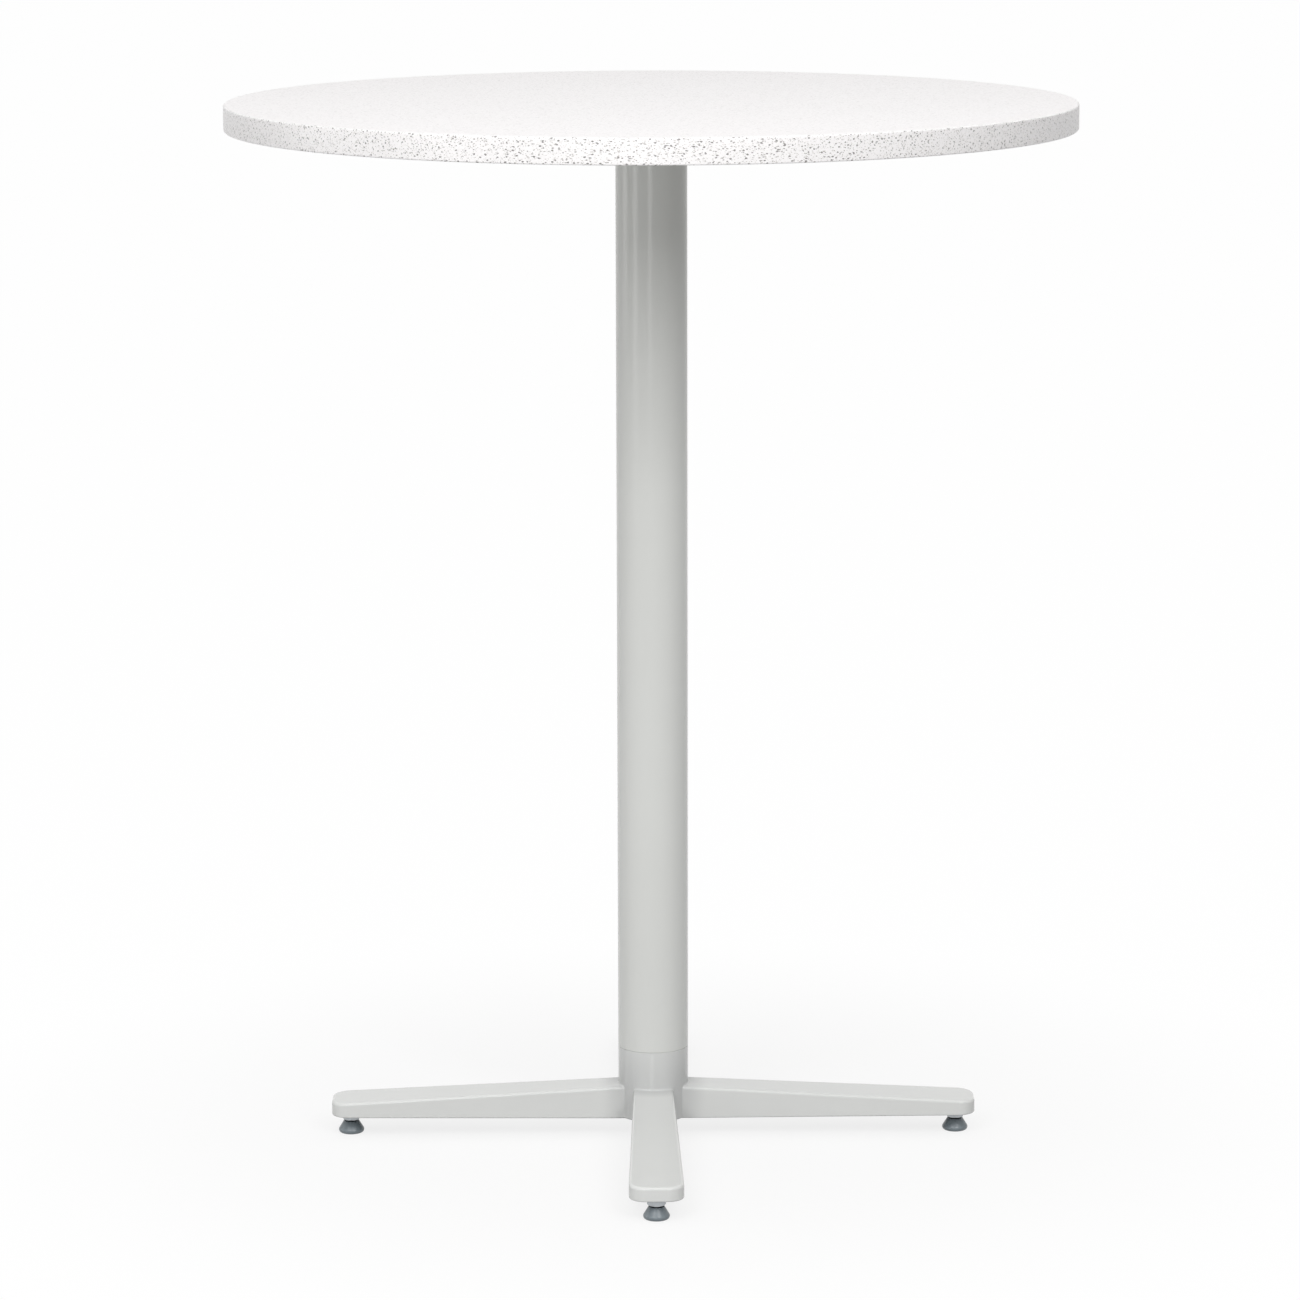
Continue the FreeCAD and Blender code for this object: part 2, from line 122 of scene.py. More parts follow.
def speckledFinish(name, look):
    finish, tree, shader, place = newFinish(name, {"IOR": 1.5, "Specular IOR Level": look["shine"]})
    wobble = addNode(tree, "ShaderNodeTexNoise", {"Scale": perMetre(speckle["wobbleSize"]), "Detail": 1.0},
                     {"Vector": place})
    centred = addNode(tree, "ShaderNodeVectorMath", {"operation": "SUBTRACT", 1: (0.5, 0.5, 0.5)},
                      {0: wobble.outputs["Color"]})
    ragged = addNode(tree, "ShaderNodeVectorMath",
                     {"operation": "MULTIPLY_ADD", 1: (speckle["wobbleReach"] * mm,) * 3},
                     {0: centred.outputs["Vector"], 2: place})
    colour = None
    for chip in speckle["chips"]:
        # the cells are counted in spacings, drawn out along one axis and thinner along the others
        scale = perMetre(chip["spacing"])
        along, across = scale / chip["stretch"], scale * chip["stretch"] ** 0.5
        turn = [math.radians(angle) for angle in chip["turn"]]
        drawn = addNode(tree, "ShaderNodeMapping", {"Rotation": turn, "Scale": (along, across, across)},
                        {"Vector": ragged.outputs["Vector"]})
        cells = addNode(tree, "ShaderNodeTexVoronoi", {"Scale": 1.0}, {"Vector": drawn.outputs["Vector"]})
        lot = addNode(tree, "ShaderNodeSeparateColor", {}, {"Color": cells.outputs["Color"]})
        smallest, largest = [size / 2 / chip["spacing"] for size in chip["size"]]
        radius = addNode(tree, "ShaderNodeMapRange", {"To Min": smallest, "To Max": largest},
                         {"Value": lot.outputs["Red"]})
        inside = addNode(tree, "ShaderNodeMath", {"operation": "SUBTRACT"},
                         {0: radius.outputs["Result"], 1: cells.outputs["Distance"]})
        mask = addNode(tree, "ShaderNodeMapRange",
                       {"From Min": speckle["rimOut"], "From Max": speckle["rimIn"],
                        "To Max": look["strength"]}, {"Value": inside.outputs["Value"]})
        mix = addNode(tree, "ShaderNodeMix", {"data_type": "RGBA", colourA: linearColour(speckle["ground"]),
                                              colourB: linearColour(chip["colour"])},
                      {0: mask.outputs["Result"]})
        if colour:
            tree.links.new(colour, mix.inputs[colourA])
        colour = mix.outputs[colourOut]
    tree.links.new(colour, shader.inputs["Base Color"])
    grain = addNode(tree, "ShaderNodeTexNoise", {"Scale": perMetre(speckle["texture"]), "Detail": 3.0},
                    {"Vector": place})
    gloss = addNode(tree, "ShaderNodeMapRange", {"To Min": look["roughness"] - speckle["glossWave"],
                                                 "To Max": look["roughness"] + speckle["glossWave"]},
                    {"Value": grain.outputs["Fac"]})
    tree.links.new(gloss.outputs["Result"], shader.inputs["Roughness"])
    bump = addNode(tree, "ShaderNodeBump", {"Distance": speckle["textureDepth"] * mm},
                   {"Height": grain.outputs["Fac"]})
    tree.links.new(bump.outputs["Normal"], shader.inputs["Normal"])
    return finish


laminate = speckledFinish("highPressureLaminate", laminateLook)
banding = speckledFinish("extrudedAbsBand", bandLook)

# Polyester powder coat: an even pale grey skin with a soft orange peel and a satin shine
powderCoat = {"patch": 70.0, "peelSoftness": 0.4, "glossWave": 0.04}  # patch in mm


def powderFinish(name, look):
    finish, tree, shader, place = newFinish(name, {"IOR": 1.45})
    patch = addNode(tree, "ShaderNodeTexNoise", {"Scale": perMetre(powderCoat["patch"]), "Detail": 2.0},
                    {"Vector": place})
    tone = addNode(tree, "ShaderNodeMix", {"data_type": "RGBA", colourA: linearColour(look["shade"]),
                                           colourB: linearColour(look["colour"])}, {0: patch.outputs["Fac"]})
    tree.links.new(tone.outputs[colourOut], shader.inputs["Base Color"])
    skin = addNode(tree, "ShaderNodeTexNoise", {"Scale": perMetre(look["peel"]), "Detail": 2.0,
                                                "Roughness": powderCoat["peelSoftness"]}, {"Vector": place})
    gloss = addNode(tree, "ShaderNodeMapRange", {"To Min": look["roughness"] - powderCoat["glossWave"],
                                                 "To Max": look["roughness"] + powderCoat["glossWave"]},
                    {"Value": skin.outputs["Fac"]})
    tree.links.new(gloss.outputs["Result"], shader.inputs["Roughness"])
    bump = addNode(tree, "ShaderNodeBump", {"Distance": look["peelDepth"] * mm},
                   {"Height": skin.outputs["Fac"]})
    tree.links.new(bump.outputs["Normal"], shader.inputs["Normal"])
    return finish, tree, shader, place, tone.outputs[colourOut]


tubeLook = {"colour": "dfe0dd", "shade": "dbdcd9", "peel": 2.2, "peelDepth": 0.003,  # mm
            "roughness": 0.2}
tubePaint = powderFinish("powderCoatOnTube", tubeLook)[0]

# on the casting the sand skin shows as a longer wave, and a painted shade turns the colour darker and greyer
# in the corner round the hub; that painted shade fades so many times faster along a leg than up the hub
castLook = {"colour": "e4e5e3", "shade": "e0e1df", "peel": 3.5, "peelDepth": 0.005, "roughness": 0.13,
            "paintedShade": "cbcccb", "cornerRadius": 38.0, "cornerHeight": 55.0, "cornerReach": 80.0, "fade": 3.0}
castPaint, tree, shader, place, tone = powderFinish("powderCoatOnCasting", castLook)
# painted shade: the colour is mixed towards a darker grey near the corner where the legs join the hub
flat = addNode(tree, "ShaderNodeVectorMath",
               {"operation": "MULTIPLY", 1: (castLook["fade"], castLook["fade"], 0)}, {0: place})
fromAxis = addNode(tree, "ShaderNodeVectorMath", {"operation": "LENGTH"}, {0: flat.outputs["Vector"]})
aboveFloor = addNode(tree, "ShaderNodeSeparateXYZ", {}, {0: place})
onSection = addNode(tree, "ShaderNodeCombineXYZ", {},
                    {"X": fromAxis.outputs["Value"], "Z": aboveFloor.outputs["Z"]})
corner = (castLook["fade"] * castLook["cornerRadius"] * mm, 0, castLook["cornerHeight"] * mm)
fromCorner = addNode(tree, "ShaderNodeVectorMath", {"operation": "DISTANCE", 1: corner},
                     {0: onSection.outputs["Vector"]})
shadeAmount = addNode(tree, "ShaderNodeMapRange",
                   {"interpolation_type": "SMOOTHSTEP", "From Max": castLook["cornerReach"] * mm,
                    "To Min": 1.0, "To Max": 0.0}, {"Value": fromCorner.outputs["Value"]})
shadedTone = addNode(tree, "ShaderNodeMix", {"data_type": "RGBA", colourB: linearColour(castLook["paintedShade"])},
                  {0: shadeAmount.outputs["Result"], colourA: tone})
tree.links.new(shadedTone.outputs[colourOut], shader.inputs["Base Color"])

# Zinc plate on turned steel: bluish bright metal, a little clouded by the passivation
zincLook = {"bright": "b6babd", "dull": "999da0", "cloud": 4.0, "tool": 0.25, "toolDepth": 0.006,  # mm
            "smooth": 0.26, "rough": 0.42}
zincPlate, tree, shader, place = newFinish("zincPlatedSteel", {"Metallic": 1.0})
cloud = addNode(tree, "ShaderNodeTexNoise", {"Scale": perMetre(zincLook["cloud"]), "Detail": 3.0},
                {"Vector": place})
tone = addNode(tree, "ShaderNodeMix", {"data_type": "RGBA", colourA: linearColour(zincLook["dull"]),
                                       colourB: linearColour(zincLook["bright"])}, {0: cloud.outputs["Fac"]})
tree.links.new(tone.outputs[colourOut], shader.inputs["Base Color"])
gloss = addNode(tree, "ShaderNodeMapRange", {"To Min": zincLook["smooth"], "To Max": zincLook["rough"]},
                {"Value": cloud.outputs["Fac"]})
tree.links.new(gloss.outputs["Result"], shader.inputs["Roughness"])
marks = addNode(tree, "ShaderNodeTexNoise", {"Scale": perMetre(zincLook["tool"]), "Detail": 2.0},
                {"Vector": place})
bump = addNode(tree, "ShaderNodeBump", {"Distance": zincLook["toolDepth"] * mm},
               {"Height": marks.outputs["Fac"]})
tree.links.new(bump.outputs["Normal"], shader.inputs["Normal"])

# Polyamide, injection moulded in a spark-eroded tool: dark blue-grey, with a fine matt grain
padLook = {"colour": "808a90", "shade": "727b81", "flow": 9.0,
           "grain": 0.8, "grainDepth": 0.02,  # drawn coarser than the real 0.2 mm, to show
           "smooth": 0.24, "rough": 0.38}
polyamide, tree, shader, place = newFinish("mouldedPolyamide", {"IOR": 1.53})
flow = addNode(tree, "ShaderNodeTexNoise", {"Scale": perMetre(padLook["flow"]), "Detail": 2.0},
               {"Vector": place})
tone = addNode(tree, "ShaderNodeMix", {"data_type": "RGBA", colourA: linearColour(padLook["shade"]),
                                       colourB: linearColour(padLook["colour"])}, {0: flow.outputs["Fac"]})
tree.links.new(tone.outputs[colourOut], shader.inputs["Base Color"])
grain = addNode(tree, "ShaderNodeTexNoise", {"Scale": perMetre(padLook["grain"]), "Detail": 2.0},
                {"Vector": place})
gloss = addNode(tree, "ShaderNodeMapRange", {"To Min": padLook["smooth"], "To Max": padLook["rough"]},
                {"Value": grain.outputs["Fac"]})
tree.links.new(gloss.outputs["Result"], shader.inputs["Roughness"])
bump = addNode(tree, "ShaderNodeBump", {"Distance": padLook["grainDepth"] * mm},
               {"Height": grain.outputs["Fac"]})
tree.links.new(bump.outputs["Normal"], shader.inputs["Normal"])

# Painted shade in the foot's joint: near-black colour on the stem's neck and the pad's recess, where the gap
# under the hex lies in shade, with a soft shine in patches
jointShadeLook = {"deepPaintedShade": "0e0f10", "paintedShade": "1f2123", "shadeMottle": 2.5, "smooth": 0.45, "rough": 0.7}
jointPaintedShade, tree, shader, place = newFinish("paintedShadeInJoint", {"IOR": 1.47})
# painted shade: two near-black tones in soft patches, standing in for the shade in the joint
shadeMottle = addNode(tree, "ShaderNodeTexNoise", {"Scale": perMetre(jointShadeLook["shadeMottle"]), "Detail": 2.0},
                {"Vector": place})
tone = addNode(tree, "ShaderNodeMix", {"data_type": "RGBA", colourA: linearColour(jointShadeLook["deepPaintedShade"]),
                                       colourB: linearColour(jointShadeLook["paintedShade"])}, {0: shadeMottle.outputs["Fac"]})
tree.links.new(tone.outputs[colourOut], shader.inputs["Base Color"])
gloss = addNode(tree, "ShaderNodeMapRange", {"To Min": jointShadeLook["smooth"], "To Max": jointShadeLook["rough"]},
                {"Value": shadeMottle.outputs["Fac"]})
tree.links.new(gloss.outputs["Result"], shader.inputs["Roughness"])

# Balancing laminate, unprinted: pale warm grey paper under matt melamine, with faint fibres
backLook = {"colour": "dddcd6", "fibre": "cfcdc6", "length": 6.0, "width": 0.8, "depth": 0.01,  # mm
            "roughness": 0.55}
backingPaper, tree, shader, place = newFinish("balancingLaminate",
                                              {"IOR": 1.5, "Roughness": backLook["roughness"]})
fibreScale = (perMetre(backLook["length"]), perMetre(backLook["width"]), 1.0)
stretched = addNode(tree, "ShaderNodeVectorMath", {"operation": "MULTIPLY", 1: fibreScale}, {0: place})
fibres = addNode(tree, "ShaderNodeTexNoise", {"Scale": 1.0, "Detail": 3.0},
                 {"Vector": stretched.outputs["Vector"]})
tone = addNode(tree, "ShaderNodeMix", {"data_type": "RGBA", colourA: linearColour(backLook["colour"]),
                                       colourB: linearColour(backLook["fibre"])}, {0: fibres.outputs["Fac"]})
tree.links.new(tone.outputs[colourOut], shader.inputs["Base Color"])
bump = addNode(tree, "ShaderNodeBump", {"Distance": backLook["depth"] * mm},
               {"Height": fibres.outputs["Fac"]})
tree.links.new(bump.outputs["Normal"], shader.inputs["Normal"])

# Particleboard, pressed wood chips: pale and dark brown flakes, raw and dull
boardLook = {"light": "c9a978", "dark": "8a6a42", "flake": 4.0, "depth": 0.2, "roughness": 0.85}
particleboard, tree, shader, place = newFinish("particleboard", {"Roughness": boardLook["roughness"]})
flakes = addNode(tree, "ShaderNodeTexVoronoi", {"Scale": perMetre(boardLook["flake"])}, {"Vector": place})
lot = addNode(tree, "ShaderNodeSeparateColor", {}, {"Color": flakes.outputs["Color"]})
tone = addNode(tree, "ShaderNodeMix", {"data_type": "RGBA", colourA: linearColour(boardLook["dark"]),
                                       colourB: linearColour(boardLook["light"])}, {0: lot.outputs["Red"]})
tree.links.new(tone.outputs[colourOut], shader.inputs["Base Color"])
bump = addNode(tree, "ShaderNodeBump", {"Distance": boardLook["depth"] * mm},
               {"Height": flakes.outputs["Distance"]})
tree.links.new(bump.outputs["Normal"], shader.inputs["Normal"])

# Brass, turned from bar: warm yellow metal with a soft cloud of tarnish
brassLook = {"bright": "d3b36c", "tarnish": "b08d4b", "cloud": 3.0, "roughness": 0.32}
brass, tree, shader, place = newFinish("turnedBrass", {"Metallic": 1.0, "Roughness": brassLook["roughness"]})
cloud = addNode(tree, "ShaderNodeTexNoise", {"Scale": perMetre(brassLook["cloud"]), "Detail": 3.0},
                {"Vector": place})
tone = addNode(tree, "ShaderNodeMix", {"data_type": "RGBA", colourA: linearColour(brassLook["tarnish"]),
                                       colourB: linearColour(brassLook["bright"])}, {0: cloud.outputs["Fac"]})
tree.links.new(tone.outputs[colourOut], shader.inputs["Base Color"])
print("finishes made")


# Mesh tools for turned pieces


def arcPoints(centre, radius, startTurn, endTurn, count):
    # points in (radius, height) along a rounded edge, turns in degrees
    points = []
    for k in range(count + 1):
        turn = math.radians(startTurn + (endTurn - startTurn) * k / count)
        points.append((centre[0] + radius * math.cos(turn), centre[1] + radius * math.sin(turn)))
    return points


def evenTurns(count):
    return [2 * math.pi * k / count for k in range(count)]


def hexReach(width, turn):
    # how far a hexagon of this width across its flats reaches at a turn, with a corner at turn 0
    return width / 2 / math.cos((turn % (math.pi / 3)) - math.pi / 6)


# metric thread: depth and the turns between flank and flat, all in shares of the pitch
thread = {"depth": 0.6134, "rootEnd": 0.25, "crestStart": 0.5625, "crestEnd": 0.6875, "steps": 10}


def threadShape(phase):
    # share of the thread's depth along one pitch: flat root, flank, flat crest, flank
    phase = phase % 1
    if phase < thread["rootEnd"]:
        return 0.0
    if phase < thread["crestStart"]:
        return (phase - thread["rootEnd"]) / (thread["crestStart"] - thread["rootEnd"])
    if phase < thread["crestEnd"]:
        return 1.0
    return (1 - phase) / (1 - thread["crestEnd"])


def threadRows(radius, pitch, bottom, top, runOut):
    # rows of a right-hand thread; its depth fades out over runOut at both ends
    depth = thread["depth"] * pitch
    count = max(2, round((top - bottom) / pitch * thread["steps"]))
    rows = []
    for k in range(count + 1):
        height = bottom + (top - bottom) * k / count
        fade = min(1.0, (height - bottom) / runOut, (top - height) / runOut)

        def reach(turn, height=height, fade=fade):
            crest = threadShape((height - bottom) / pitch - turn / (2 * math.pi))
            return radius - depth + depth * crest * max(fade, 0.0), height
        rows.append(reach)
    return rows


def spinMesh(rows, turns, ring=False, centre=(0, 0)):
    # a row is (radius, height), or a function of the turn that gives them; a ring closes on its first row
    corners, faces = [], []
    count = len(turns)
    for row in rows:
        for turn in turns:
            radius, height = row(turn) if callable(row) else row
            corners.append((centre[0] + radius * math.cos(turn), centre[1] + radius * math.sin(turn), height))
    for r in range(len(rows) if ring else len(rows) - 1):
        above = (r + 1) % len(rows)
        for k in range(count):
            beside = (k + 1) % count
            faces.append((r * count + k, r * count + beside, above * count + beside, above * count + k))
    if not ring:
        faces.append(tuple(reversed(range(count))))
        faces.append(tuple(range((len(rows) - 1) * count, len(rows) * count)))
    return corners, faces


def addPiece(name, corners, faces, finish, sharp=32):
    mesh = bpy.data.meshes.new(name)
    mesh.from_pydata([(x * mm, y * mm, z * mm) for x, y, z in corners], [], faces)
    work = bmesh.new()
    work.from_mesh(mesh)
    bmesh.ops.recalc_face_normals(work, faces=work.faces)
    work.to_mesh(mesh)
    work.free()
    mesh.shade_smooth()
    mesh.set_sharp_from_angle(angle=math.radians(sharp))
    mesh.materials.append(finish)
    piece = bpy.data.objects.new(name, mesh)
    bpy.context.collection.objects.link(piece)
    return piece


# Tabletop

top = {"radius": 448.0, "bottom": 1122.1, "top": 1123.0, "ease": 0.18, "facets": 360}
sheetRows = [(top["radius"], top["bottom"]), (top["radius"], top["top"] - top["ease"]),
             (top["radius"] - top["ease"], top["top"])]
topSheet = addPiece("topSheet", *spinMesh(sheetRows, evenTurns(top["facets"])), laminate)
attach(topSheet, "table")
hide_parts("top_laminate")

band = {"outer": 450.0, "inner": 448.0, "bottom": 1096.2, "top": 1123.0, "edge": 1.5, "ease": 0.15,
        "edgeSteps": 8, "facets": 360, "jointTurn": 90.0, "jointWidth": 0.5, "jointDepth": 0.2}
# the band is one strip, so its ends meet in a fine butt joint at the back
jointTurn = math.radians(band["jointTurn"])
jointStep = band["jointWidth"] / 2 / band["outer"]
bandTurns = [turn for turn in evenTurns(band["facets"]) if abs(turn - jointTurn) > jointStep]
bandTurns = sorted(bandTurns + [jointTurn - jointStep, jointTurn, jointTurn + jointStep])


def bandRow(radius, height):
    def reach(turn):
        atJoint = abs(turn - jointTurn) < jointStep / 2 and radius > band["inner"] + band["ease"]
        return radius - (band["jointDepth"] if atJoint else 0.0), height
    return reach


bandCorner = band["outer"] - band["edge"]
bandOutline = [(band["inner"], band["bottom"] + band["ease"]), (band["inner"] + band["ease"], band["bottom"])]
bandOutline += arcPoints((bandCorner, band["bottom"] + band["edge"]), band["edge"], -90, 0, band["edgeSteps"])
bandOutline += arcPoints((bandCorner, band["top"] - band["edge"]), band["edge"], 0, 90, band["edgeSteps"])
bandOutline += [(band["inner"] + band["ease"], band["top"]), (band["inner"], band["top"] - band["ease"])]
bandRows = [bandRow(radius, height) for radius, height in bandOutline]
edgeBanding = addPiece("edgeBanding", *spinMesh(bandRows, bandTurns, ring=True), banding)
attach(edgeBanding, "table")
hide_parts("edge_band")
print("tabletop made")


# Column and tie rod

column = {"outer": 38.05, "inner": 36.05, "bottom": 97.2, "top": 1076.2, "chamfer": 0.6, "facets": 144}
columnRows = [(column["inner"], column["bottom"]), (column["outer"] - column["chamfer"], column["bottom"]),
              (column["outer"], column["bottom"] + column["chamfer"]), (column["outer"], column["top"]),
              (column["inner"], column["top"])]
columnSleeve = addPiece("columnSleeve", *spinMesh(columnRows, evenTurns(column["facets"]), ring=True),
                        tubePaint)
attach(columnSleeve, "table")
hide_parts("column_tube")

rod = {"radius": 6.0, "bottom": 48.7, "top": 1093.2, "pitch": 1.75, "threaded": 22.0, "chamfer": 1.2,
       "lead": 0.2, "shankEase": 0.1, "shankGap": 1.0, "facets": 48}
rodTip = rod["radius"] - rod["chamfer"]
shankRadius = rod["radius"] - rod["shankEase"]
lowerEnd, upperEnd = rod["bottom"] + rod["threaded"], rod["top"] - rod["threaded"]
rodRows = [(rodTip, rod["bottom"])]
rodRows += threadRows(rod["radius"], rod["pitch"], rod["bottom"] + rod["lead"], lowerEnd, rod["chamfer"])
rodRows += [(shankRadius, lowerEnd + rod["shankGap"]), (shankRadius, upperEnd - rod["shankGap"])]
rodRows += threadRows(rod["radius"], rod["pitch"], upperEnd, rod["top"] - rod["lead"], rod["chamfer"])
rodRows += [(rodTip, rod["top"])]
threadedRod = addPiece("threadedRod", *spinMesh(rodRows, evenTurns(rod["facets"])), zincPlate)
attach(threadedRod, "table")
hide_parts("tie_rod")
print("column made")


# Button-head screws under the spider, their sockets facing down

screw = {"headBottom": 1084.0, "headTop": 1087.6, "headRadius": 5.5, "rim": 0.9, "rimEase": 0.15, "face": 3.2,
         "domeSteps": 8, "socket": 4.0, "socketDepth": 2.0, "socketDraft": 0.05, "socketEase": 0.25,
         "shank": 3.0, "top": 1107.2, "tip": 0.6, "facets": 48,
         "circles": (153.0, 218.0), "turns": (-90, 0, 90, 180)}


def socketRow(width, height):
    return lambda turn: (hexReach(width, turn), height)


domeDrop = screw["headTop"] - screw["rim"] - screw["headBottom"]
screwRows = [socketRow(screw["socket"] - screw["socketDraft"], screw["headBottom"] + screw["socketDepth"]),
             socketRow(screw["socket"], screw["headBottom"] + screw["socketEase"]),
             (screw["socket"] / 2 / math.cos(math.pi / 6) + screw["socketEase"], screw["headBottom"]),
             (screw["face"], screw["headBottom"])]
for k in range(1, screw["domeSteps"] + 1):
    swing = math.radians(90 * k / screw["domeSteps"])
    screwRows.append((screw["face"] + (screw["headRadius"] - screw["face"]) * math.sin(swing),
                      screw["headBottom"] + domeDrop * (1 - math.cos(swing))))
screwRows += [(screw["headRadius"], screw["headTop"] - screw["rimEase"]),
              (screw["headRadius"] - screw["rimEase"], screw["headTop"]),
              (screw["shank"], screw["headTop"]), (screw["shank"], screw["top"] - screw["tip"]),
              (screw["shank"] - screw["tip"], screw["top"])]
screwCorners, screwFaces = [], []
for spoke in screw["turns"]:
    for circle in screw["circles"]:
        centre = (circle * math.cos(math.radians(spoke)), circle * math.sin(math.radians(spoke)))
        corners, faces = spinMesh(screwRows, evenTurns(screw["facets"]), centre=centre)
        screwFaces += [tuple(k + len(screwCorners) for k in face) for face in faces]
        screwCorners += corners
buttonScrews = addPiece("buttonScrews", screwCorners, screwFaces, zincPlate)
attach(buttonScrews, "table")
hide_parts("spider_screws")
print("screws made")


# Levelling feet

foot = {"circle": 330.0, "turns": {"front": -90, "right": 0, "back": 90, "left": 180},
        "shadeMargin": 0.1}  # takes in the faces that lie on the limits of the painted shade
pad = {"radius": 13.85, "edge": 3.4, "edgeSteps": 14, "topRadius": 8.5, "height": 13.3,
       "rimEase": 0.45, "rimSteps": 5, "recessRim": 1.3, "recess": 3.2, "recessEase": (0.2, 0.25),
       "neck": 3.8, "neckEase": 0.3, "socket": 5.8, "socketTop": 7.8, "floor": 4.2, "facets": 96}
stem = {"disc": 5.5, "discBottom": 4.5, "discTop": 7.5, "discEase": 0.3, "neck": 3.5, "hexWidth": 17.0,
        "hexBottom": 14.7, "hexTop": 20.7, "hexFace": 8.2, "hexTurn": 30.0, "hexChamfer": 30.0, "radius": 5.0,
        "pitch": 1.5, "tip": 0.8, "tipEnd": 1.2, "lead": 0.2, "top": 34.57, "facets": 72}

# the pad's side is the line from its rim that touches the round lower edge
padEdge = (pad["radius"] - pad["edge"], pad["edge"])
across = pad["topRadius"] - padEdge[0]
rise = pad["height"] - pad["edge"]
touch = math.degrees(math.atan2(rise, across) - math.acos(pad["edge"] / math.hypot(across, rise)))
padRim = (pad["topRadius"] - pad["rimEase"], pad["height"] - pad["rimEase"])
recessRadius = pad["topRadius"] - pad["recessRim"]
recessFloor = pad["height"] - pad["recess"]
padRows = arcPoints(padEdge, pad["edge"], -90, touch, pad["edgeSteps"])
padRows += arcPoints(padRim, pad["rimEase"], touch, 90, pad["rimSteps"])
padRows += [(recessRadius, pad["height"]),
            (recessRadius - pad["recessEase"][0], pad["height"] - pad["recessEase"][1]),
            (pad["neck"] + pad["neckEase"], recessFloor), (pad["neck"], recessFloor - pad["neckEase"]),
            (pad["neck"], pad["socketTop"]), (pad["socket"], pad["socketTop"]), (pad["socket"], pad["floor"])]

hexSlope =math.tan(math.radians(stem["hexChamfer"]))


def hexRow(height, sense):
    # the hexagon's outline where the turned chamfer cuts it; a flat faces away from the column
    def reach(turn):
        radius = hexReach(stem["hexWidth"], turn + math.radians(stem["hexTurn"]))
        return radius, height + sense * (radius - stem["hexFace"]) * hexSlope
    return reach


discRim = stem["disc"] - stem["discEase"]
stemRows = [(discRim, stem["discBottom"]), (stem["disc"], stem["discBottom"] + stem["discEase"]),
            (stem["disc"], stem["discTop"] - stem["discEase"]), (discRim, stem["discTop"]),
            (stem["neck"], stem["discTop"]), (stem["neck"], stem["hexBottom"]),
            (stem["hexFace"], stem["hexBottom"]), hexRow(stem["hexBottom"], 1), hexRow(stem["hexTop"], -1),
            (stem["hexFace"], stem["hexTop"])]
stemRows += threadRows(stem["radius"], stem["pitch"], stem["hexTop"], stem["top"] - stem["lead"], stem["tip"])
stemRows += [(stem["radius"] - stem["tipEnd"], stem["top"])]


def paintShadeInJoint(piece, reach, low, high):
    # gives the faces inside this reach and between these heights a second finish, the near-black painted
    # shade
    piece.data.materials.append(jointPaintedShade)
    for face in piece.data.polygons:
        spot = face.center / mm
        if math.hypot(spot.x, spot.y) < reach and low < spot.z < high:
            face.material_index = 1


padMesh = spinMesh(padRows, evenTurns(pad["facets"]))
stemMesh = spinMesh(stemRows, evenTurns(stem["facets"]))
for side, turn in foot["turns"].items():
    spot = Matrix.Rotation(math.radians(turn), 4, "Z") @ Matrix.Translation((foot["circle"] * mm, 0, 0))
    footPad = addPiece("footPad_" + side, *padMesh, polyamide)
    footStem = addPiece("footStem_" + side, *stemMesh, zincPlate)
    paintShadeInJoint(footPad, recessRadius, pad["floor"] + foot["shadeMargin"], pad["height"])
    paintShadeInJoint(footStem, stem["hexFace"] - foot["shadeMargin"], stem["discBottom"] - foot["shadeMargin"],
                stem["hexBottom"] + foot["shadeMargin"])
    for piece, body, node, slot in ((footPad, "pad_", "foot_pad_", "pad_plastic"),
                                    (footStem, "stem_", "foot_stem_", "stem_zinc")):
        piece.data.transform(spot)
        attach(piece, body + side)
        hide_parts(node + side)
print("feet made")


# Finishes of the CAD nodes that stay

keptNodes = {"tabletop_core": particleboard, "backing_laminate": backingPaper, "threaded_inserts": brass,
             "top_spider": castPaint, "base_casting": castPaint, "spider_washers": zincPlate,
             "tie_rod_top_washer": zincPlate, "tie_rod_top_nut": zincPlate,
             "tie_rod_bottom_washer": zincPlate, "tie_rod_bottom_nut": zincPlate}
for name, finish in keptNodes.items():
    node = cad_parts[name]
    node.data.materials.clear()
    node.data.materials.append(finish)
print("finishes set on", len(keptNodes), "nodes")


# Studio: white floor, two softboxes in front, small lamps for the left side and soft light from above

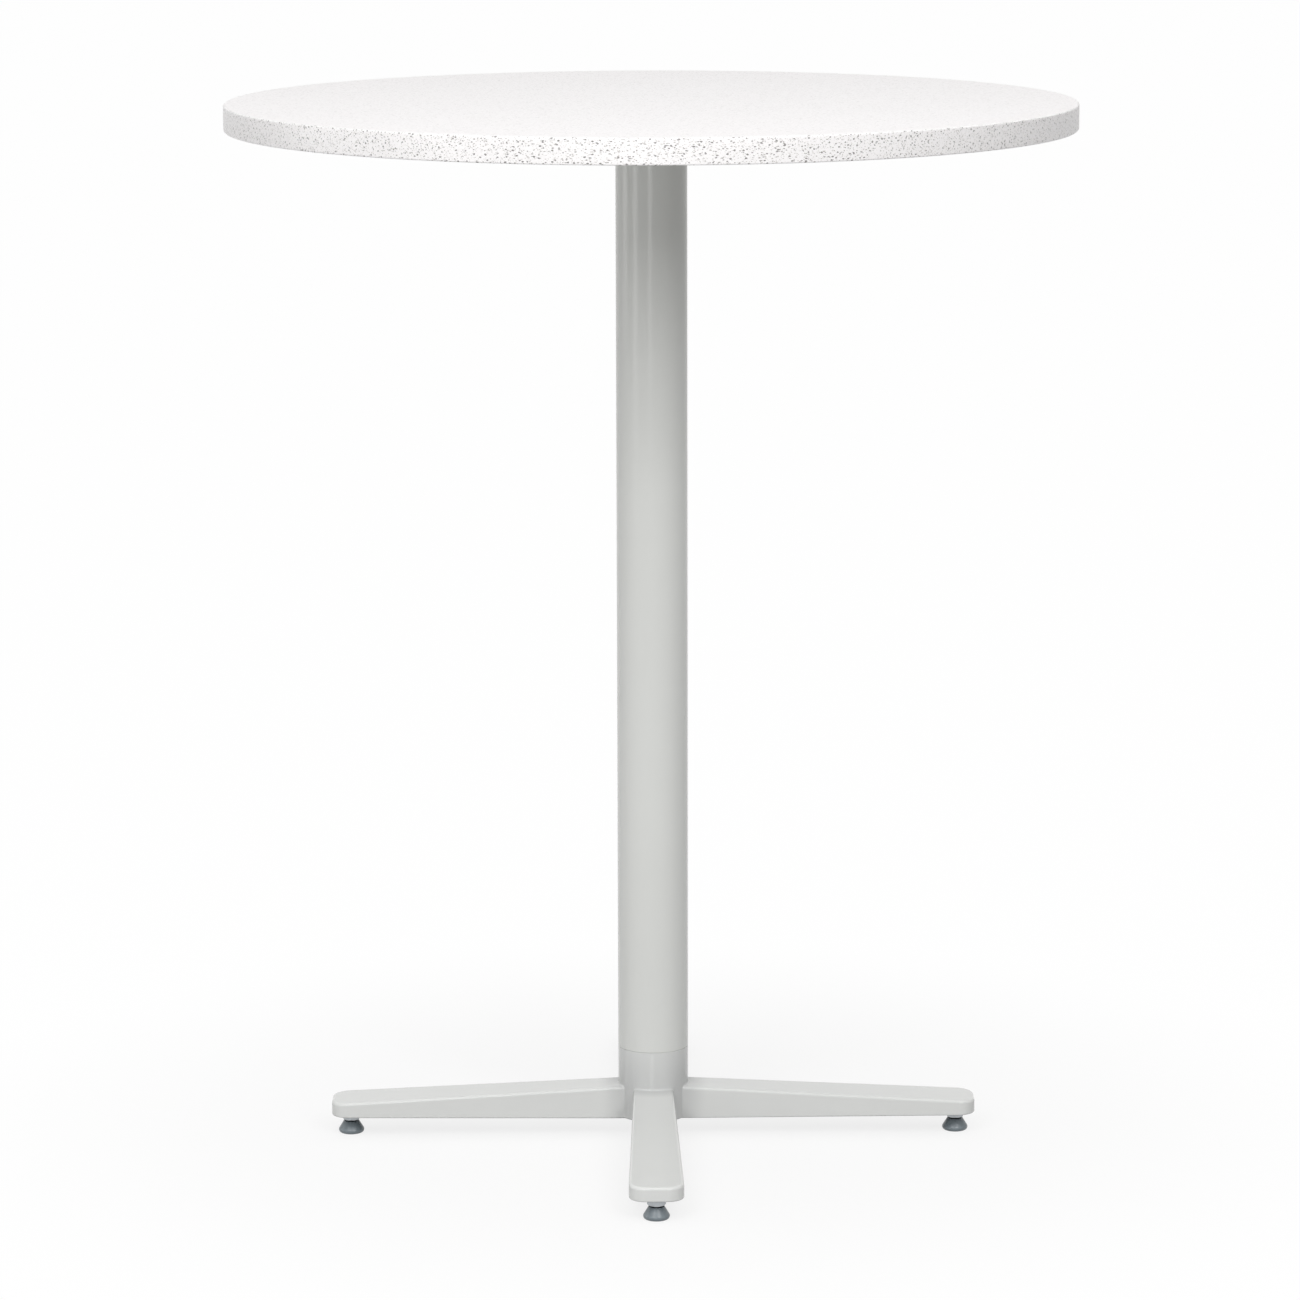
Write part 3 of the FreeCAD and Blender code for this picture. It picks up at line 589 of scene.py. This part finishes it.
studio = {"floorSize": 120.0,  # m
          # the floor is grey for the light that it throws back, and pale where it is seen
          "floorWhite": 0.4, "floorSeen": 0.95,
          # it glows white, but less near the table, between these distances in m: there the traced shadow
          # shows, and the lower glow also paints a faint shade round the table
          "floorGlow": 0.985, "shadowGlow": 0.8, "shadowReach": (0.3, 0.9),
          # the white tent overhead, as a share of full white, from the horizon up to this rise
          "tentLow": 0.0, "tentHigh": 0.49, "tentRise": 0.8}
lamps = [  # m and W
    {"name": "softLeft", "place": (-1.9, -4.0, 3.3), "aim": (0, 0, 0.6), "size": (2.2, 2.4), "watts": 63},
    {"name": "softRight", "place": (1.9, -4.0, 3.3), "aim": (0, 0, 0.6), "size": (2.2, 2.4), "watts": 86},
    {"name": "frontHigh", "place": (-0.5, -3.0, 4.2), "aim": (0, 0, 0.4), "size": (2.0, 1.5), "watts": 25},
    {"name": "frontLow", "place": (-0.4, -4.6, 1.2), "aim": (0, 0, 0.6), "size": (0.9, 1.6), "watts": 16.5},
    {"name": "leftLow", "place": (-3.6, -2.6, 0.9), "aim": (0, 0, 0.8), "size": (1.2, 1.2), "watts": 12},
    {"name": "leftSide", "place": (-4.5, 0.3, 1.2), "aim": (0, 0, 0.8), "size": (1.5, 1.5), "watts": 18},
    {"name": "topSoftbox", "place": (0, 0.3, 4.6), "aim": (0, 0, 0), "size": (4.0, 4.0), "watts": 37},
]


def whiteRays(tree):
    # 1 for the rays that show the background itself, 0 for those that light the table
    path = addNode(tree, "ShaderNodeLightPath")
    level = path.outputs["Is Camera Ray"]
    for kind in ("Is Glossy Ray", "Is Transmission Ray"):
        either = addNode(tree, "ShaderNodeMath", {"operation": "MAXIMUM"}, {0: level, 1: path.outputs[kind]})
        level = either.outputs["Value"]
    return level


floorMesh = bpy.data.meshes.new("studioFloor")
half = studio["floorSize"] / 2
floorCorners = [(-half, -half, 0), (half, -half, 0), (half, half, 0), (-half, half, 0)]
floorMesh.from_pydata(floorCorners, [], [(0, 1, 2, 3)])
studioFloor = bpy.data.objects.new("studioFloor", floorMesh)
bpy.context.collection.objects.link(studioFloor)
paper = bpy.data.materials.new("whitePaperSweep")
paper.use_nodes = True
tree = paper.node_tree
tree.nodes.clear()
floorPlace = addNode(tree, "ShaderNodeNewGeometry")
fromTable = addNode(tree, "ShaderNodeVectorMath", {"operation": "LENGTH"},
                    {0: floorPlace.outputs["Position"]})
near, far = studio["shadowReach"]
spread = addNode(tree, "ShaderNodeMapRange",
                 {"interpolation_type": "SMOOTHSTEP", "From Min": near, "From Max": far,
                  "To Min": studio["shadowGlow"], "To Max": studio["floorGlow"]},
                 {"Value": fromTable.outputs["Value"]})
seen = whiteRays(tree)
share = addNode(tree, "ShaderNodeMath", {"operation": "MULTIPLY"}, {0: seen, 1: spread.outputs["Result"]})
tone = addNode(tree, "ShaderNodeMapRange", {"To Min": studio["floorWhite"], "To Max": studio["floorSeen"]},
               {"Value": seen})
matt = addNode(tree, "ShaderNodeBsdfDiffuse", {}, {"Color": tone.outputs["Result"]})
glow = addNode(tree, "ShaderNodeEmission", {"Strength": 1.0})
sweep = addNode(tree, "ShaderNodeMixShader", {},
                {0: share.outputs["Value"], 1: matt.outputs["BSDF"], 2: glow.outputs["Emission"]})
addNode(tree, "ShaderNodeOutputMaterial", {}, {"Surface": sweep.outputs["Shader"]})
floorMesh.materials.append(paper)

world = bpy.data.worlds.new("whiteStudio")
bpy.context.scene.world = world
world.use_nodes = True
tree = world.node_tree
tree.nodes.clear()
skyPlace = addNode(tree, "ShaderNodeTexCoord")
skyHeight = addNode(tree, "ShaderNodeSeparateXYZ", {}, {0: skyPlace.outputs["Generated"]})
tent = addNode(tree, "ShaderNodeMapRange", {"From Max": studio["tentRise"], "To Min": studio["tentLow"],
                                            "To Max": studio["tentHigh"]}, {"Value": skyHeight.outputs["Z"]})
level = addNode(tree, "ShaderNodeMath", {"operation": "MAXIMUM"},
                {0: whiteRays(tree), 1: tent.outputs["Result"]})
sky = addNode(tree, "ShaderNodeBackground", {"Color": (1, 1, 1, 1)}, {"Strength": level.outputs["Value"]})
addNode(tree, "ShaderNodeOutputWorld", {}, {"Surface": sky.outputs["Background"]})

for lamp in lamps:
    lampData = bpy.data.lights.new(lamp["name"], "AREA")
    lampData.shape = "RECTANGLE"
    lampData.size, lampData.size_y = lamp["size"]
    lampData.energy = lamp["watts"]
    lampObject = bpy.data.objects.new(lamp["name"], lampData)
    lampObject.location = lamp["place"]
    away = Vector(lamp["place"]) - Vector(lamp["aim"])
    lampObject.rotation_euler = away.to_track_quat("Z", "Y").to_euler()
    bpy.context.collection.objects.link(lampObject)
print("studio lit")
